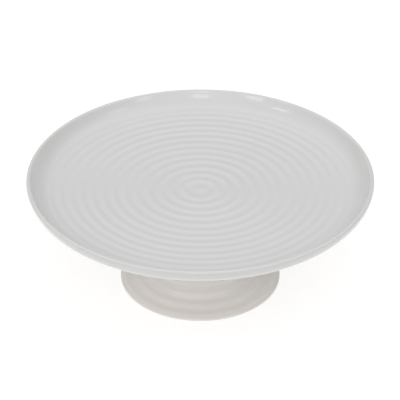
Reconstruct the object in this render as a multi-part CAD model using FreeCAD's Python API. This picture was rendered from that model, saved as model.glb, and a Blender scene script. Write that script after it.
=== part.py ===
import FreeCAD, Part
import math
import os

# Footed cake stand in glazed porcelain: a wide plate with rings and an upturned rim, a low hollow
# flared foot with rings, and the fired slip that joins the foot to the underside of the plate.
# Millimetres. +Z is up and is the axis that everything is turned about. The origin is the centre
# of the circle that the foot stands on.
# Each piece is one half-section, drawn in the XZ plane with X as the radius, turned through 360°.

# Overall size
PLATE_DIAMETER = 320.0
OVERALL_HEIGHT = 114.0
FOOT_DIAMETER = 152.0

# Plate floor: a gentle dish, lowest in the middle, that thickens a little towards the rim
DISH_DEPTH = 17.5           # from the top of the rim down to the middle of the dish
DISH_RADIUS = 130.0
DISH_RISE = 3.0             # how much higher the floor is at DISH_RADIUS than in the middle
DISH_POWER = 2.6            # the rise grows with this power of the radius
FLOOR_THICKNESS = 6.8       # in the middle
LAND_RADIUS = 64.0          # flat land under the middle of the plate, where the foot is joined

# Rings in the plate: a boss in the middle, then concentric crests, a little uneven in pitch
RING_COUNT = 13
FIRST_RING_RADIUS = 15.4
RING_PITCH = 10.3
RING_DRIFT = 4.0            # how far the middle crests stray outwards from an even pitch
RING_HEIGHT = 0.45          # from trough to crest
FIRST_TROUGH = 0.6          # radius of the trough round the boss, as a share of the first ring's

# Rim: the inner wall turns up steeply to a rounded lip, and the outer side is one rounder curve
LIP_RADIUS = 2.2
RIM_WALL_ANGLE = math.radians(60.0)     # steepness of the inner wall just under the lip
RIM_WALL = [(144.3, -13.25), (149.5, -10.1), (153.4, -5.4)]    # from the last trough upwards
RIM_SIDE_RADIUS = 12.0
RIM_SIDE_TURN = math.radians(52.0)      # how far the outer side curves in under the rim
RIM_UNDERSIDE = [(142.5, -19.9), (126.0, -22.9), (98.0, -23.8)]

# Foot: a trumpet, widest at its rounded base lip, with a slight flare where it meets the plate
FOOT_LIP_RADIUS = 1.7
FOOT_LIP_TURN = math.radians(69.0)      # the base lip rounds over by this much above its widest
FOOT_RING_INNER_RADIUS = 71.0           # inner edge of the flat, unglazed ring it stands on
WAIST_OUTER_RADIUS = 46.0
WAIST_INNER_RADIUS = 41.0
FLARE_LENGTH = 10.8         # height over which the trumpet closes to 37% of its spread
TOP_FLARE = 7.0             # spread of the foot's top end beyond its waist
TOP_FLARE_LENGTH = 14.0
COLLAR_HEIGHT = 3.0         # straight-sided end of the foot, which the slip fillets grip
WALL_STEPS = 24             # points that the trumpet's smooth walls pass through
WALL_STEP_GROWTH = 1.5      # above 1 the points lie closer together near the base
FOOT_RING_PITCH = 10.3
FIRST_FOOT_RING = 3.5       # along the outside, from the base lip to the first crest above it
FOOT_RING_HEIGHT = 0.9
FOOT_RING_END = 9.0         # the rings stop this far short of the collar

# Joining slip between the foot and the plate
SLIP_THICKNESS = 0.8
OUTER_FILLET = 4.0
INNER_FILLET = 2.5

land_height = OVERALL_HEIGHT - DISH_DEPTH - FLOOR_THICKNESS
foot_height = land_height - SLIP_THICKNESS
collar_base = foot_height - COLLAR_HEIGHT

AXIS_POINT = FreeCAD.Vector(0, 0, 0)
AXIS = FreeCAD.Vector(0, 0, 1)


def at(radius, height):
    return FreeCAD.Vector(radius, 0, height)


def line(start, end):
    return Part.LineSegment(start, end).toShape()


def spline(points, first_tangent=None, last_tangent=None):
    """Smooth curve through the points; either both end tangents are given or neither."""
    curve = Part.BSplineCurve()
    if first_tangent is None:
        curve.interpolate(Points=points)
    else:
        curve.interpolate(Points=points, InitialTangent=first_tangent, FinalTangent=last_tangent)
    return curve


def arc(centre, radius, first_angle, last_angle):
    """Arc in the XZ plane; angles are in radians, measured from +X towards +Z."""
    def on_circle(angle):
        return centre + at(radius * math.cos(angle), radius * math.sin(angle))
    middle_angle = (first_angle + last_angle) / 2
    return Part.Arc(on_circle(first_angle), on_circle(middle_angle), on_circle(last_angle)).toShape()


def ends(edge):
    return edge.valueAt(edge.FirstParameter), edge.valueAt(edge.LastParameter)


def turn(edges):
    """Turn a closed outline into a solid of revolution."""
    outline = Part.Wire(Part.__sortEdges__(edges))
    return Part.Face(outline).revolve(AXIS_POINT, AXIS, 360)


def dish_height(radius):
    rise = DISH_RISE * (radius / DISH_RADIUS) ** DISH_POWER
    return OVERALL_HEIGHT - DISH_DEPTH + rise


def ring_radius(number):
    drift = RING_DRIFT * math.sin(math.pi * number / (RING_COUNT - 1))
    return FIRST_RING_RADIUS + RING_PITCH * number + drift


def plate():
    half_height = RING_HEIGHT / 2
    crests = [0.0] + [ring_radius(number) for number in range(RING_COUNT)]
    top_points = []
    for inner, outer in zip(crests, crests[1:]):
        trough = (inner + outer) / 2
        if inner == 0.0:
            trough = outer * FIRST_TROUGH
        top_points.append(at(inner, dish_height(inner) + half_height))
        top_points.append(at(trough, dish_height(trough) - half_height))
    top_points.append(at(crests[-1], dish_height(crests[-1]) + half_height))
    top_points += [at(radius, OVERALL_HEIGHT + drop) for radius, drop in RIM_WALL]

    lip_centre = at(PLATE_DIAMETER / 2 - LIP_RADIUS, OVERALL_HEIGHT - LIP_RADIUS)
    lip = arc(lip_centre, LIP_RADIUS, 0.0, RIM_WALL_ANGLE + math.pi / 2)
    lip_outer, lip_inner = ends(lip)
    top_points.append(lip_inner)
    wall_direction = at(math.cos(RIM_WALL_ANGLE), math.sin(RIM_WALL_ANGLE))
    top = spline(top_points, at(1, 0), wall_direction).toShape()

    side_centre = lip_outer - at(RIM_SIDE_RADIUS, 0)
    side = arc(side_centre, RIM_SIDE_RADIUS, -RIM_SIDE_TURN, 0.0)
    side_end = ends(side)[0]
    side_direction = at(-math.sin(RIM_SIDE_TURN), -math.cos(RIM_SIDE_TURN))
    land_edge = at(LAND_RADIUS, land_height)
    under_points = [side_end]
    under_points += [at(radius, OVERALL_HEIGHT + drop) for radius, drop in RIM_UNDERSIDE]
    under_points.append(land_edge)
    underside = spline(under_points, side_direction, at(-1, 0)).toShape()

    land_centre = at(0, land_height)
    land = line(land_edge, land_centre)
    middle = line(land_centre, top_points[0])
    return turn([top, lip, side, underside, land, middle])


def trumpet_radius(height, waist, base_radius, base_height):
    """Radius of a trumpet wall: an exponential flare at the base and a smaller one at the top."""
    base_flare = (base_radius - waist) * math.exp(-(height - base_height) / FLARE_LENGTH)
    top_flare = TOP_FLARE * math.exp(-(collar_base - height) / TOP_FLARE_LENGTH)
    return waist + base_flare + top_flare


def trumpet_wall(waist, base_radius, base_height):
    """Smooth wall from its base point up to the collar, as a curve."""
    points = [at(base_radius, base_height)]
    for step in range(1, WALL_STEPS + 1):
        height = base_height + (collar_base - base_height) * (step / WALL_STEPS) ** WALL_STEP_GROWTH
        points.append(at(trumpet_radius(height, waist, base_radius, base_height), height))
    return spline(points)


def collar_top(collar_edge):
    """End of the collar, which leaves the trumpet wall straight, at the slope of its top flare."""
    slope = TOP_FLARE / TOP_FLARE_LENGTH
    return collar_edge + at(slope * COLLAR_HEIGHT, COLLAR_HEIGHT)


def foot_base_lip():
    lip_centre = at(FOOT_DIAMETER / 2 - FOOT_LIP_RADIUS, FOOT_LIP_RADIUS)
    return arc(lip_centre, FOOT_LIP_RADIUS, -math.pi / 2, FOOT_LIP_TURN)


def foot_outer_wall():
    start = ends(foot_base_lip())[1]
    return trumpet_wall(WAIST_OUTER_RADIUS, start.x, start.z)


def foot_inner_wall():
    return trumpet_wall(WAIST_INNER_RADIUS, FOOT_RING_INNER_RADIUS, 0.0)


def ringed(wall):
    """The outer wall with rings: crests and troughs set off square to the smooth wall."""
    length = wall.length()
    half_pitch = FOOT_RING_PITCH / 2
    points = [wall.value(wall.FirstParameter)]
    distance = FIRST_FOOT_RING
    side = 1
    while distance < length - half_pitch / 2:
        parameter = wall.parameterAtDistance(distance, wall.FirstParameter)
        tangent = wall.tangent(parameter)[0]
        outward = at(tangent.z, -tangent.x)
        offset = side * FOOT_RING_HEIGHT / 2
        if distance > length - FOOT_RING_END:
            offset = 0.0
        points.append(wall.value(parameter) + outward * offset)
        distance += half_pitch
        side = -side
    points.append(wall.value(wall.LastParameter))
    return spline(points)


def foot():
    lip = foot_base_lip()
    outer = ringed(foot_outer_wall()).toShape()
    inner = foot_inner_wall().toShape()
    inner_base, inner_collar = ends(inner)
    outer_collar = ends(outer)[1]
    standing_ring = line(inner_base, ends(lip)[0])
    outer_side = line(outer_collar, collar_top(outer_collar))
    inner_side = line(inner_collar, collar_top(inner_collar))
    top = line(collar_top(inner_collar), collar_top(outer_collar))
    return turn([standing_ring, lip, outer, outer_side, top, inner_side, inner])


def fillet_curve(collar_edge, reach):
    """Hollow fillet from the collar's side up to the land under the plate."""
    slope = TOP_FLARE / TOP_FLARE_LENGTH
    corner = collar_edge + at(slope * (land_height - collar_edge.z), land_height - collar_edge.z)
    curve = Part.BezierCurve()
    curve.setPoles([collar_edge, corner, corner + at(reach, 0)])
    return curve.toShape()


def joint_slip():
    outer_collar = ends(foot_outer_wall().toShape())[1]
    inner_collar = ends(foot_inner_wall().toShape())[1]
    outer = fillet_curve(outer_collar, OUTER_FILLET)
    inner = fillet_curve(inner_collar, -INNER_FILLET)
    land = line(ends(inner)[1], ends(outer)[1])
    outer_side = line(outer_collar, collar_top(outer_collar))
    inner_side = line(inner_collar, collar_top(inner_collar))
    top = line(collar_top(inner_collar), collar_top(outer_collar))
    return turn([outer, land, inner, inner_side, top, outer_side])


pieces = {"plate": plate, "foot": foot, "joint_slip": joint_slip}

os.makedirs("parts", exist_ok=True)
for name, make in pieces.items():
    shape = make()
    shape.exportStep(f"parts/{name}.step")
    box = shape.optimalBoundingBox(False, False)
    print(f"{name}: valid {shape.isValid()}, radius {box.XMax:.2f}, "
          f"height {box.ZMin:.2f} to {box.ZMax:.2f}")
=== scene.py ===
import math

import bpy
import numpy as np
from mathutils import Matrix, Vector


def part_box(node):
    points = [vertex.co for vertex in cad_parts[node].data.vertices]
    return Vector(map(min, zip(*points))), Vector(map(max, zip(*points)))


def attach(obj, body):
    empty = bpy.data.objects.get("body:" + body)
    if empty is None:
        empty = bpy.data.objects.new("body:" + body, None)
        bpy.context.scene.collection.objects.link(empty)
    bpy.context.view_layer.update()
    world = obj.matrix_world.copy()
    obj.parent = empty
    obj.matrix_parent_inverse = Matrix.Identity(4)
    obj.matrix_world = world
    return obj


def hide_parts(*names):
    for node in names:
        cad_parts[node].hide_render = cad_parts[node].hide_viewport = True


# Footed cake stand in white glazed porcelain, on a pale floor in soft studio light.
# Lengths are in metres; MM turns a length in millimetres into metres.

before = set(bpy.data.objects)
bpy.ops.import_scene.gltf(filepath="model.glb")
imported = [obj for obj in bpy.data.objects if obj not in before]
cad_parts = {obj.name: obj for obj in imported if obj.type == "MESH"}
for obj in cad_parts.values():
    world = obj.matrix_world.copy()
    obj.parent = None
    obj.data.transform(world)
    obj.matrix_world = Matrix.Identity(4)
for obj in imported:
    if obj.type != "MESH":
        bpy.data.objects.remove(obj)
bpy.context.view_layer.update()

MM = 0.001
rng = np.random.default_rng(32)         # seeded, so that every run gives the same unevenness

# ---- Sizes taken from the frame --------------------------------------------------------------
plate_low, plate_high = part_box("plate")
foot_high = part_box("foot")[1]
RIM_RADIUS = plate_high.x
RIM_HEIGHT = plate_high.z
LAND_HEIGHT = plate_low.z               # underside of the plate where the foot is joined
FOOT_RADIUS = foot_high.x
FOOT_HEIGHT = foot_high.z

# ---- Plate -----------------------------------------------------------------------------------
PLATE_SEGMENTS = 320
DISH_DEPTH = 17.5 * MM
DISH_RADIUS = 130 * MM
DISH_RISE = 3.0 * MM
DISH_POWER = 2.6
RING_COUNT = 13
FIRST_RING_RADIUS = 15.4 * MM
RING_PITCH = 10.3 * MM
RING_DRIFT = 4.0 * MM
RING_HEIGHT = 0.45 * MM                 # from trough to crest
LAST_RING_RADIUS = FIRST_RING_RADIUS + RING_PITCH * (RING_COUNT - 1)
FIRST_TROUGH = 0.62                     # trough round the boss, as a share of the first ring radius
RING_FADE_END = 149 * MM                # the rings have died out at this radius
RING_FADE_WIDTH = 10 * MM
RING_WALL_POINTS = 14                   # points of the wall that the last trough runs on into
RING_WANDER = 0.3 * MM                  # how far a ring strays from its circle
RING_UNEVENNESS = 0.15                  # share by which a ring's height varies along its length
RING_DIFFERENCE = 0.08                  # share by which one ring's height differs from another's
LIP_RADIUS = 2.2 * MM
WALL_ANGLE = math.radians(60)           # steepness of the inner wall just under the lip
# Points of the section in millimetres: radius, and height measured from the top of the rim
WALL_POINTS = [(144.3, -13.1), (149.5, -10.1), (153.4, -5.4)]
SIDE_RADIUS = 12 * MM
SIDE_TURN = math.radians(52)            # how far the outer side curves in under the rim
UNDERSIDE_POINTS = [(142.5, -19.9), (126.0, -22.9), (98.0, -23.8)]
LAND_RADIUS = 64 * MM
PLATE_INSET = 0.12 * MM                 # keeps the uneven surface within the CAD plate's size
PLATE_INSET_START = 100 * MM            # radius where the inset begins
PLATE_INSET_WIDTH = 60 * MM
THIN_GLAZE_HEIGHT = 3 * MM              # the glaze thins within about this height of the rim's top

# ---- Foot ------------------------------------------------------------------------------------
FOOT_SEGMENTS = 288
FOOT_LIP_RADIUS = 1.7 * MM
FOOT_LIP_TURN = math.radians(69)
FOOT_RING_INNER = 71 * MM
WAIST_OUTER = 46 * MM
WAIST_INNER = 41 * MM
FLARE_LENGTH = 10.8 * MM
TOP_FLARE = 7 * MM
TOP_FLARE_LENGTH = 14 * MM
COLLAR_HEIGHT = 3 * MM
FOOT_RING_PITCH = 10.3 * MM
FIRST_FOOT_RING = 3.5 * MM
FOOT_RING_HEIGHT = 0.9 * MM
FOOT_RING_END = 9 * MM                  # the rings fade out over this length below the collar
FOOT_RING_START = 2 * MM                # and grow in over this length above the base lip
FOOT_RING_WANDER = 0.35 * MM
FOOT_INSET = 0.1 * MM                   # keeps the uneven surface within the CAD foot's size
LEVEL_HEIGHT = 3 * MM                   # the unevenness grows from nothing over this height
BARE_TOP = 1.08 * MM                    # height up to which bare porcelain shows
BARE_BLEND = 0.9 * MM                   # height over which the glaze begins
OUTER_FILLET = 4 * MM
INNER_FILLET = 2.5 * MM


def angles_round(segments):
    return np.arange(segments) * 2 * math.pi / segments


def smoothstep(share):
    """Ease from 0 to 1 with level ends; outside that range the share is held."""
    share = np.clip(share, 0, 1)
    return share * share * (3 - 2 * share)


# ---- Curves in the half-section: arrays of (radius, height) ------------------------------------
def smooth_curve(points, start_tangent, end_tangent, count):
    """Cubic curve through the points, with the given end directions and evenly spaced samples."""
    points = np.array(points, float)
    knots = np.concatenate([[0], np.cumsum(np.linalg.norm(np.diff(points, axis=0), axis=1))])
    steps = np.diff(knots)
    size = len(points)
    system = np.zeros((size, size))
    right = np.zeros((size, 2))
    system[0, 0] = system[-1, -1] = 1
    right[0] = start_tangent
    right[-1] = end_tangent
    for i in range(1, size - 1):
        before, after = steps[i - 1], steps[i]
        system[i, i - 1:i + 2] = after, 2 * (before + after), before
        right[i] = 3 * (after / before * (points[i] - points[i - 1])
                        + before / after * (points[i + 1] - points[i]))
    tangents = np.linalg.solve(system, right)
    where = np.linspace(0, knots[-1], count)
    piece = np.clip(np.searchsorted(knots, where, side="right") - 1, 0, size - 2)
    h = steps[piece][:, None]
    t = ((where - knots[piece]) / steps[piece])[:, None]
    return ((2 * t**3 - 3 * t**2 + 1) * points[piece] + (t**3 - 2 * t**2 + t) * h * tangents[piece]
            + (3 * t**2 - 2 * t**3) * points[piece + 1] + (t**3 - t**2) * h * tangents[piece + 1])


def arc(centre, radius, first, last, count):
    angles = np.linspace(first, last, count)
    return np.array(centre) + radius * np.stack([np.cos(angles), np.sin(angles)], axis=1)


def straight(start, end, count):
    share = np.linspace(0, 1, count)[:, None]
    return np.array(start) * (1 - share) + np.array(end) * share


def joined(*parts):
    """One outline from parts that each start where the last one ends."""
    return np.concatenate([parts[0]] + [part[1:] for part in parts[1:]])


def normals(outline, closed):
    """Unit normals on the left-hand side of the outline's direction."""
    if closed:
        along = np.roll(outline, -1, axis=0) - np.roll(outline, 1, axis=0)
    else:
        along = np.gradient(outline, axis=0)
    along /= np.linalg.norm(along, axis=1)[:, None]
    return np.stack([-along[:, 1], along[:, 0]], axis=1)


# ---- Hand-made unevenness ----------------------------------------------------------------------
def round_wave(angles, size, orders=3):
    """Slow random wave round the axis, of about the given size."""
    total = np.zeros_like(angles)
    for order in range(1, orders + 1):
        total += rng.normal() / order * np.cos(order * angles + rng.uniform(0, 2 * math.pi))
    return size * total


def soft_relief(outline, angles, wavelength, size, waves=9):
    """Sum of random long waves in space: the slow unevenness of a hand-finished surface."""
    x = outline[:, :1] * np.cos(angles)
    y = outline[:, :1] * np.sin(angles)
    z = outline[:, 1:] + 0 * angles
    total = np.zeros_like(x)
    for _ in range(waves):
        direction = rng.normal(size=3)
        direction *= 2 * math.pi / wavelength / np.linalg.norm(direction) * rng.uniform(0.6, 1.5)
        total += np.cos(direction[0] * x + direction[1] * y + direction[2] * z
                        + rng.uniform(0, 2 * math.pi))
    return size * total / math.sqrt(waves)


# ---- Meshes ------------------------------------------------------------------------------------
def turned(name, outline, relief, segments, attributes, closed):
    """Mesh of an outline turned about Z.

    relief is an offset along the normal for every outline point and angle. A closed outline
    meets itself; the other kind starts and ends on the axis.
    """
    angles = angles_round(segments)
    side = normals(outline, closed)
    radius = np.maximum(outline[:, :1] + side[:, :1] * relief, 0)
    height = outline[:, 1:] + side[:, 1:] * relief
    verts = np.stack([radius * np.cos(angles), radius * np.sin(angles), height], axis=2)
    rows = len(outline)
    faces = []
    for i in range(rows if closed else rows - 1):
        low, high = i * segments, ((i + 1) % rows) * segments
        for j in range(segments):
            k = (j + 1) % segments
            faces.append((low + j, low + k, high + k, high + j))
    flat = verts.reshape(-1, 3)
    values = {key: value.reshape(-1) for key, value in attributes.items()}
    if not closed:
        flat, faces, values = close_on_axis(flat, faces, values, segments)
    mesh = bpy.data.meshes.new(name)
    mesh.from_pydata(flat.tolist(), [], faces)
    for key, value in values.items():
        attribute = mesh.attributes.new(key, "FLOAT", "POINT")
        attribute.data.foreach_set("value", value.astype(np.float32))
    if not closed:
        mesh.flip_normals()             # this outline runs clockwise, so its faces start inside out
    mesh.shade_smooth()
    mesh.validate()
    piece = bpy.data.objects.new(name, mesh)
    bpy.context.scene.collection.objects.link(piece)
    return piece


def close_on_axis(flat, faces, values, segments):
    """The first and last rows lie on the axis: each becomes one vertex."""
    last = len(flat) - segments
    new_index = np.arange(len(flat)) - segments + 1
    new_index[:segments] = 0
    new_index[last:] = last - segments + 1
    keep = np.concatenate([[0], np.arange(segments, last), [last]])
    renumbered = []
    for face in faces:
        corners = []
        for corner in new_index[list(face)].tolist():
            if corner not in corners:
                corners.append(corner)
        renumbered.append(tuple(corners))
    return flat[keep], renumbered, {key: value[keep] for key, value in values.items()}


def dish_height(radius):
    rise = DISH_RISE * (radius / DISH_RADIUS) ** DISH_POWER
    return RIM_HEIGHT - DISH_DEPTH + rise


def ring_radii():
    """Crest radii of the boss and the rings."""
    numbers = np.arange(RING_COUNT)
    drift = RING_DRIFT * np.sin(math.pi * numbers / (RING_COUNT - 1))
    return np.concatenate([[0], FIRST_RING_RADIUS + RING_PITCH * numbers + drift])


def plate_outline():
    """Half-section without rings, from the middle of the top round the rim to the middle below."""
    def below_rim(points):
        return [(radius * MM, RIM_HEIGHT + drop * MM) for radius, drop in points]

    radii = np.linspace(0, LAST_RING_RADIUS, num=194)
    floor = np.stack([radii, dish_height(radii)], axis=1)
    lip_centre = (RIM_RADIUS - LIP_RADIUS, RIM_HEIGHT - LIP_RADIUS)
    lip = arc(lip_centre, LIP_RADIUS, math.pi / 2 + WALL_ANGLE, 0, count=18)
    wall_start = floor[-1] - floor[-2]
    wall_start /= np.linalg.norm(wall_start)
    wall_points = [floor[-1]] + below_rim(WALL_POINTS) + [lip[0]]
    wall_end = (math.cos(WALL_ANGLE), math.sin(WALL_ANGLE))
    wall = smooth_curve(wall_points, wall_start, wall_end, count=30)
    side_centre = (RIM_RADIUS - SIDE_RADIUS, RIM_HEIGHT - LIP_RADIUS)
    side = arc(side_centre, SIDE_RADIUS, 0, -SIDE_TURN, count=12)
    under_points = [side[-1]] + below_rim(UNDERSIDE_POINTS) + [(LAND_RADIUS, LAND_HEIGHT)]
    side_direction = (-math.sin(SIDE_TURN), -math.cos(SIDE_TURN))
    under = smooth_curve(under_points, side_direction, (-1, 0), count=44)
    land = straight(under[-1], (0, LAND_HEIGHT), count=12)
    return joined(floor, wall, lip, side, under, land), len(floor)


def make_plate():
    outline, floor_count = plate_outline()
    angles = angles_round(PLATE_SEGMENTS)
    relief = np.zeros((len(outline), PLATE_SEGMENTS))
    pool = np.full_like(relief, 0.5)

    crests = ring_radii()
    ring_height = np.ones((len(crests), PLATE_SEGMENTS))
    ring_radius = np.repeat(crests[:, None], PLATE_SEGMENTS, axis=1)
    for number in range(1, len(crests)):
        ring_radius[number] += round_wave(angles, RING_WANDER)
        unevenness = round_wave(angles, RING_UNEVENNESS)
        ring_height[number] += unevenness + rng.normal() * RING_DIFFERENCE
    radius = outline[:floor_count + RING_WALL_POINTS, 0]
    fade = smoothstep((RING_FADE_END - radius) / RING_FADE_WIDTH)
    for column in range(PLATE_SEGMENTS):
        peaks = ring_radius[:, column]
        knots = np.empty(2 * len(peaks))
        knots[0::2] = peaks
        knots[1:-1:2] = (peaks[:-1] + peaks[1:]) / 2
        knots[1] = peaks[1] * FIRST_TROUGH
        knots[-1] = peaks[-1] + RING_PITCH / 2
        phase = np.interp(radius, knots, np.arange(len(knots)) / 2)
        height = np.interp(phase, np.arange(len(peaks)), ring_height[:, column])
        wave = np.cos(2 * math.pi * phase) * fade
        relief[:len(radius), column] = wave * height * RING_HEIGHT / 2
        pool[:len(radius), column] = 0.5 - 0.5 * wave

    relief += soft_relief(outline, angles, wavelength=70 * MM, size=0.05 * MM)
    near_edge = np.clip((outline[:, :1] - PLATE_INSET_START) / PLATE_INSET_WIDTH, 0, 1)
    relief -= PLATE_INSET * near_edge
    lip_share = np.exp(-((outline[:, 1:] - RIM_HEIGHT) / THIN_GLAZE_HEIGHT) ** 2)
    lip_share *= near_edge > 0.5
    pool -= 0.5 * lip_share
    return turned("plate_body", outline, relief, PLATE_SEGMENTS, {"pool": pool}, closed=False)


def trumpet(waist, base_radius, base_height, count):
    """Smooth foot wall from its base up to the collar."""
    top = FOOT_HEIGHT - COLLAR_HEIGHT
    height = base_height + (top - base_height) * np.linspace(0, 1, count) ** 1.3
    radius = waist + (base_radius - waist) * np.exp(-(height - base_height) / FLARE_LENGTH)
    radius += TOP_FLARE * (np.exp(-(top - height) / TOP_FLARE_LENGTH)
                           - np.exp(-(top - base_height) / TOP_FLARE_LENGTH))
    return np.stack([radius, height], axis=1)


def collar_end(edge):
    """Top corner of the straight collar that leaves a foot wall at its top edge."""
    return edge + np.array([TOP_FLARE / TOP_FLARE_LENGTH, 1]) * (FOOT_HEIGHT - edge[1])


def foot_walls():
    """Base lip, outer and inner wall, each upwards, and the collar's two top corners."""
    lip_centre = (FOOT_RADIUS - FOOT_LIP_RADIUS, FOOT_LIP_RADIUS)
    lip = arc(lip_centre, FOOT_LIP_RADIUS, -math.pi / 2, FOOT_LIP_TURN, count=16)
    outer = trumpet(WAIST_OUTER, lip[-1][0], lip[-1][1], count=170)
    inner = trumpet(WAIST_INNER, FOOT_RING_INNER, 0, count=90)
    return lip, outer, inner, collar_end(outer[-1]), collar_end(inner[-1])


def make_foot():
    lip, outer, inner, outer_top, inner_top = foot_walls()
    outer_side = straight(outer[-1], outer_top, count=5)
    top = straight(outer_top, inner_top, count=6)
    inner_side = straight(inner_top, inner[-1], count=5)
    standing_ring = straight(inner[0], lip[0], count=6)
    outline = joined(lip, outer, outer_side, top, inner_side, inner[::-1], standing_ring)[:-1]
    angles = angles_round(FOOT_SEGMENTS)
    relief = np.zeros((len(outline), FOOT_SEGMENTS))
    pool = np.full_like(relief, 0.5)

    steps = np.linalg.norm(np.diff(outer, axis=0), axis=1)
    distance = np.concatenate([[0], np.cumsum(steps)])
    fade = smoothstep((distance[-1] - distance) / FOOT_RING_END)
    fade = fade * np.clip(distance / FOOT_RING_START, 0, 1)
    shift = round_wave(angles, FOOT_RING_WANDER)
    on_wall = slice(len(lip) - 1, len(lip) - 1 + len(outer))
    for column in range(FOOT_SEGMENTS):
        phase = (distance - FIRST_FOOT_RING - shift[column]) / FOOT_RING_PITCH
        wave = np.cos(2 * math.pi * phase) * fade
        relief[on_wall, column] = -wave * FOOT_RING_HEIGHT / 2
        pool[on_wall, column] = 0.5 - 0.5 * wave

    off_ground = np.clip(outline[:, 1:] / LEVEL_HEIGHT, 0, 1)
    relief += soft_relief(outline, angles, wavelength=60 * MM, size=0.05 * MM) * off_ground
    relief += FOOT_INSET * off_ground
    dry = np.clip((BARE_TOP - outline[:, 1:]) / BARE_BLEND, 0, 1)
    dry = np.repeat(dry, FOOT_SEGMENTS, axis=1)
    attributes = {"pool": pool, "dry": dry}
    return turned("foot_body", outline, relief, FOOT_SEGMENTS, attributes, closed=True)


def fillet(edge, reach, count):
    """Hollow curve from a collar's edge up to the land under the plate."""
    rise = LAND_HEIGHT - edge[1]
    corner = edge + np.array([TOP_FLARE / TOP_FLARE_LENGTH, 1]) * rise
    end = corner + np.array([reach, 0])
    t = np.linspace(0, 1, count)[:, None]
    return (1 - t) ** 2 * edge + 2 * t * (1 - t) * corner + t ** 2 * end


def make_slip():
    _, outer, inner, outer_top, inner_top = foot_walls()
    outside = fillet(outer[-1], OUTER_FILLET, count=12)
    inside = fillet(inner[-1], -INNER_FILLET, count=10)
    land = straight(outside[-1], inside[-1], count=10)
    inner_side = straight(inner[-1], inner_top, count=4)
    top = straight(inner_top, outer_top, count=5)
    outer_side = straight(outer_top, outer[-1], count=4)
    outline = joined(outside, land, inside[::-1], inner_side, top, outer_side)[:-1]
    relief = np.zeros((len(outline), FOOT_SEGMENTS))
    pool = np.full_like(relief, 0.8)
    return turned("slip_ring", outline, relief, FOOT_SEGMENTS, {"pool": pool}, closed=True)


# ---- Materials ---------------------------------------------------------------------------------
# Glaze colours: thin over edges, then thick where it pools in hollows
PLATE_GLAZE = (0.79, 0.79, 0.785), (0.782, 0.785, 0.785)
# The foot's glaze is warmer and a little darker than the plate's: partly a warm glaze, partly
# painted warm shade from under the plate.
FOOT_GLAZE_AND_WARM_SHADE = (0.805, 0.77, 0.735), (0.79, 0.752, 0.713)
# The slip bead's glaze is warmer and darker still: a warm glaze with painted shade where the foot
# meets the plate.
SLIP_GLAZE_AND_SHADE = (0.79, 0.765, 0.735), (0.765, 0.74, 0.705)
CLOUD_SHADE = 0.965                     # brightness of the faint clouds in the glaze
SPECK_COLOUR = (0.42, 0.37, 0.30)
BARE_LOW, BARE_HIGH = (0.70, 0.67, 0.62), (0.78, 0.76, 0.72)    # bare porcelain's grain


class Nodes:
    """Short way to build a node material."""

    def __init__(self, name):
        self.material = bpy.data.materials.new(name)
        self.material.use_nodes = True
        self.tree = self.material.node_tree
        self.tree.nodes.clear()

    def add(self, kind, settings=None, **inputs):
        """New node. An input is named by its socket, with _ for a space, or by its number."""
        node = self.tree.nodes.new("ShaderNode" + kind)
        for key, value in (settings or {}).items():
            setattr(node, key, value)
        for key, value in inputs.items():
            self.put(node, key.replace("_", " "), value)
        return node

    def put(self, node, socket, value):
        target = node.inputs[int(socket) if socket.isdigit() else socket]
        if isinstance(value, bpy.types.NodeSocket):
            self.tree.links.new(value, target)
        else:
            target.default_value = value

    def mix(self, share, first, second):
        """Blend of two colours; the mix node's colour sockets are numbers 6 and 7."""
        node = self.tree.nodes.new("ShaderNodeMix")
        node.data_type = "RGBA"
        self.put(node, "0", share)
        for socket, value in zip(("6", "7"), (first, second)):
            if isinstance(value, tuple):
                value = (*value, 1.0)
            self.put(node, socket, value)
        return node.outputs[2]

    def ramp(self, value, low, high, to_low=0.0, to_high=1.0):
        node = self.add("MapRange", {"clamp": True}, Value=value, From_Min=low, From_Max=high,
                        To_Min=to_low, To_Max=to_high)
        return node.outputs[0]

    def noise(self, scale, detail=2.0, roughness=0.5):
        node = self.add("TexNoise", Vector=self.place(), Scale=scale, Detail=detail,
                        Roughness=roughness)
        return node.outputs["Fac"]

    def place(self):
        return self.add("TexCoord").outputs["Object"]

    def attribute(self, name):
        return self.add("Attribute", {"attribute_name": name}).outputs["Fac"]

    def finish(self, shader):
        self.add("OutputMaterial", Surface=shader.outputs[0])
        return self.material


def glaze(n, thin, thick, cloud_scale):
    """White glaze over porcelain, with faint clouds, rare specks and a slightly uneven gloss."""
    pooled = n.ramp(n.attribute("pool"), 0.0, 1.0)
    body = n.mix(pooled, thin, thick)
    cloud = n.ramp(n.noise(cloud_scale, detail=3.0), 0.35, 0.65)
    shade = tuple(CLOUD_SHADE * channel for channel in thick)
    body = n.mix(n.ramp(cloud, 0, 1, 0.0, 0.35), body, shade)
    speck_field = n.add("TexVoronoi", {"feature": "F1"}, Vector=n.place(), Scale=95.0)
    speck = n.ramp(speck_field.outputs["Distance"], 0.035, 0.05, 1.0, 0.0)
    rare = n.ramp(speck_field.outputs["Color"], 0.955, 0.96)
    speck_share = n.add("Math", {"operation": "MULTIPLY"}, **{"0": speck, "1": rare}).outputs[0]
    speck_share = n.ramp(speck_share, 0, 1, 0.0, 0.45)
    body = n.mix(speck_share, body, SPECK_COLOUR)
    gloss = n.ramp(n.noise(160.0, detail=3.0), 0.3, 0.7, 0.10, 0.17)
    bump = n.add("Bump", Strength=0.12, Distance=0.00012, Height=n.noise(620.0))
    return n.add("BsdfPrincipled", Base_Color=body, Roughness=gloss, IOR=1.52,
                 Normal=bump.outputs[0], Coat_Weight=0.35, Coat_Roughness=0.05)


def plate_material():
    n = Nodes("plate_glaze_white")
    return n.finish(glaze(n, *PLATE_GLAZE, cloud_scale=9.0))


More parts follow.
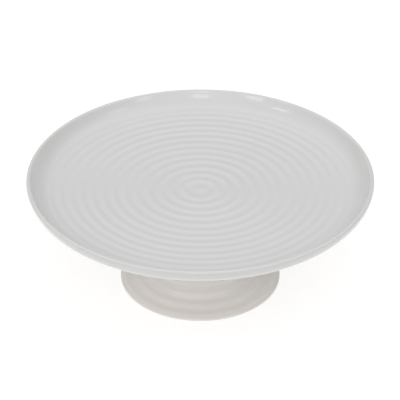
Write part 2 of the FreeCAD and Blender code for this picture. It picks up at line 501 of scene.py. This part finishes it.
def foot_material():
    """Glaze wiped off the ring that the foot stands on, where bare porcelain shows."""
    n = Nodes("foot_glaze_and_warm_shade")
    # the foot's glaze colours carry painted warm shade from under the plate
    glazed = glaze(n, *FOOT_GLAZE_AND_WARM_SHADE, cloud_scale=11.0)
    grain = n.noise(900.0, detail=4.0, roughness=0.7)
    bare_colour = n.mix(n.ramp(grain, 0.3, 0.7), BARE_LOW, BARE_HIGH)
    bump = n.add("Bump", Strength=0.5, Distance=0.0002, Height=grain)
    bare = n.add("BsdfPrincipled", Base_Color=bare_colour, Roughness=0.85, Normal=bump.outputs[0])
    ragged = n.ramp(n.noise(210.0, detail=3.0), 0.3, 0.7, -0.12, 0.12)
    edge = n.add("Math", {"operation": "ADD"}, **{"0": n.attribute("dry"), "1": ragged})
    share = n.ramp(edge.outputs[0], 0.45, 0.55)
    mixed = n.add("MixShader", **{"0": share, "1": glazed.outputs[0], "2": bare.outputs[0]})
    return n.finish(mixed)


def slip_material():
    n = Nodes("slip_glaze_and_shade")
    # the slip's glaze colours carry painted shade from under the plate
    return n.finish(glaze(n, *SLIP_GLAZE_AND_SHADE, cloud_scale=13.0))


def floor_material():
    """Pale grey floor that glows in a wide, soft-edged painted pool of light round the stand.

    Seen from below the floor is clear, so that the stand's underside shows.
    """
    n = Nodes("floor_painted_light_pool")
    matte = n.add("BsdfDiffuse", Color=(*FLOOR_COLOUR, 1))
    from_pool = n.add("Mapping", Vector=n.place(), Location=(0, -POOL_CENTRE, 0))
    distance = n.add("VectorMath", {"operation": "LENGTH"}, **{"0": from_pool.outputs[0]})
    pool = n.add("MapRange", {"interpolation_type": "SMOOTHSTEP"},
                 Value=distance.outputs["Value"], From_Min=POOL_RADIUS,
                 From_Max=POOL_RADIUS + POOL_EDGE, To_Min=POOL_GLOW, To_Max=0.0)
    # painted light: the floor itself glows, strongest in the pool round the stand
    glow = n.add("Emission", Color=(1, 1, 1, 1), Strength=pool.outputs[0])
    lit = n.add("AddShader", **{"0": matte.outputs[0], "1": glow.outputs[0]})
    below = n.add("NewGeometry").outputs["Backfacing"]
    clear = n.add("BsdfTransparent")
    mixed = n.add("MixShader", **{"0": below, "1": lit.outputs[0], "2": clear.outputs[0]})
    return n.finish(mixed)


# ---- Stage, light and camera -------------------------------------------------------------------
FLOOR_SIZE = 12.0
FLOOR_COLOUR = (0.58, 0.575, 0.568)
# strength of the painted light the floor glows with inside the pool
POOL_GLOW = 0.57
POOL_CENTRE = 0.3           # the pool of light lies a little behind the stand
POOL_RADIUS = 0.46
POOL_EDGE = 0.34            # width over which the light fades out

# Sky: for each side, where it lies and its brightness low, half way up and high
SKY_HEIGHTS = (0.1, 0.5, 0.85)      # sines of the elevation
SKY = {
    "front": ((0, -1, 0), (0.2, 1.45, 0.9)),
    "right": ((1, 0, 0), (0.3, 0.35, 1.1)),
    "back": ((0, 1, 0), (0.6, 0.4, 0.9)),
    "left": ((-1, 0, 0), (0.4, 0.8, 0.65)),
}
SKY_TOP = 0.93                      # brightness straight up
SKY_LOW_COLOUR = (1.0, 0.97, 0.935)     # the surroundings are warmer near the floor
SKY_WHITE_HEIGHT = 0.4              # and white from this sine of the elevation upwards

# Lamps: name, degrees round from the front, degrees up, watts
LAMP_DISTANCE = 1.7
LAMP_SIZE = 0.3
LAMPS = [
    ("front", 0, 39, 0.6),
    ("front_right", 42, 27, 0.45),
    ("front_left", -40, 27, 0.6),
    ("right", 70, 40, 0.4),
    ("left", -66, 40, 0.6),
]

CAMERA_AIM = Vector((-0.00022, 0, 0.0844))
CAMERA_DISTANCE = 1.6158
CAMERA_ELEVATION = math.radians(32.69)
CAMERA_LENS = 156.3                 # focal length and sensor width in millimetres
SENSOR_WIDTH = 36


def make_floor():
    half = FLOOR_SIZE / 2
    corners = [(-half, -half, 0), (half, -half, 0), (half, half, 0), (-half, half, 0)]
    mesh = bpy.data.meshes.new("floor")
    mesh.from_pydata(corners, [], [(0, 1, 2, 3)])
    mesh.materials.append(floor_material())
    floor = bpy.data.objects.new("floor", mesh)
    bpy.context.scene.collection.objects.link(floor)


def make_lamp(name, around, up, power):
    """Square soft lamp aimed at the middle of the plate."""
    data = bpy.data.lights.new(name, "AREA")
    data.shape = "SQUARE"
    data.size = LAMP_SIZE
    data.energy = power
    around, up = math.radians(around), math.radians(up)
    direction = Vector((math.sin(around) * math.cos(up), -math.cos(around) * math.cos(up),
                        math.sin(up)))
    lamp = bpy.data.objects.new(name, data)
    lamp.location = Vector((0, 0, RIM_HEIGHT)) + direction * LAMP_DISTANCE
    lamp.rotation_euler = direction.to_track_quat("Z", "Y").to_euler()
    bpy.context.scene.collection.objects.link(lamp)


def make_sky():
    """Soft surroundings with their own brightness on each side, warmer near the floor."""
    world = bpy.data.worlds.new("studio")
    world.use_nodes = True
    tree = world.node_tree
    background = tree.nodes["Background"]

    def node(kind, settings, *inputs):
        made = tree.nodes.new("ShaderNode" + kind)
        for key, value in settings.items():
            setattr(made, key, value)
        for socket, value in zip(made.inputs, inputs):
            if isinstance(value, bpy.types.NodeSocket):
                tree.links.new(value, socket)
            else:
                socket.default_value = value
        return made

    def ramp(value, stops):
        """Colours at a few heights, blended evenly in between."""
        made = node("ValToRGB", {}, value)
        elements = made.color_ramp.elements
        while len(elements) < len(stops):
            elements.new(1.0)
        for element, (height, colour) in zip(elements, stops):
            element.position = height
            element.color = (*colour, 1)
        return made.outputs["Color"]

    direction = node("TexCoord", {}).outputs["Generated"]
    x, y, z = node("SeparateXYZ", {}, direction).outputs
    level_direction = node("CombineXYZ", {}, x, y, 0.0).outputs[0]
    level_direction = node("VectorMath", {"operation": "NORMALIZE"}, level_direction).outputs[0]
    strength = 0.0
    for towards, levels in SKY.values():
        facing = node("VectorMath", {"operation": "DOT_PRODUCT"}, level_direction, towards)
        share = node("Math", {"operation": "MAXIMUM"}, facing.outputs["Value"], 0.0).outputs[0]
        share = node("Math", {"operation": "POWER"}, share, 2.0).outputs[0]
        stops = zip([*SKY_HEIGHTS, 1.0], [*levels, SKY_TOP])
        level = ramp(z, [(height, (value,) * 3) for height, value in stops])
        strength = node("Math", {"operation": "MULTIPLY_ADD"}, share, level, strength).outputs[0]
    tree.links.new(strength, background.inputs["Strength"])
    colour = ramp(z, [(0.0, SKY_LOW_COLOUR), (SKY_WHITE_HEIGHT, (1, 1, 1))])
    tree.links.new(colour, background.inputs["Color"])
    bpy.context.scene.world = world


def make_camera():
    data = bpy.data.cameras.new("camera")
    data.lens = CAMERA_LENS
    data.sensor_width = SENSOR_WIDTH
    camera = bpy.data.objects.new("camera", data)
    back = Vector((0, -math.cos(CAMERA_ELEVATION), math.sin(CAMERA_ELEVATION)))
    camera.location = CAMERA_AIM + back * CAMERA_DISTANCE
    camera.rotation_euler = (-back).to_track_quat("-Z", "Y").to_euler()
    bpy.context.scene.collection.objects.link(camera)
    bpy.context.scene.camera = camera


# ---- Build -------------------------------------------------------------------------------------
pieces = [
    (make_plate, "plate", "plate_glaze", plate_material),
    (make_foot, "foot", "foot_glaze", foot_material),
    (make_slip, "joint_slip", "slip_glaze", slip_material),
]
for make, node, slot, material in pieces:
    piece = make()
    piece.data.materials.append(material())
    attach(piece, "root")
    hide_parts(node)

make_floor()
make_sky()
for lamp in LAMPS:
    make_lamp(*lamp)
make_camera()
bpy.context.scene.view_settings.view_transform = "Standard"
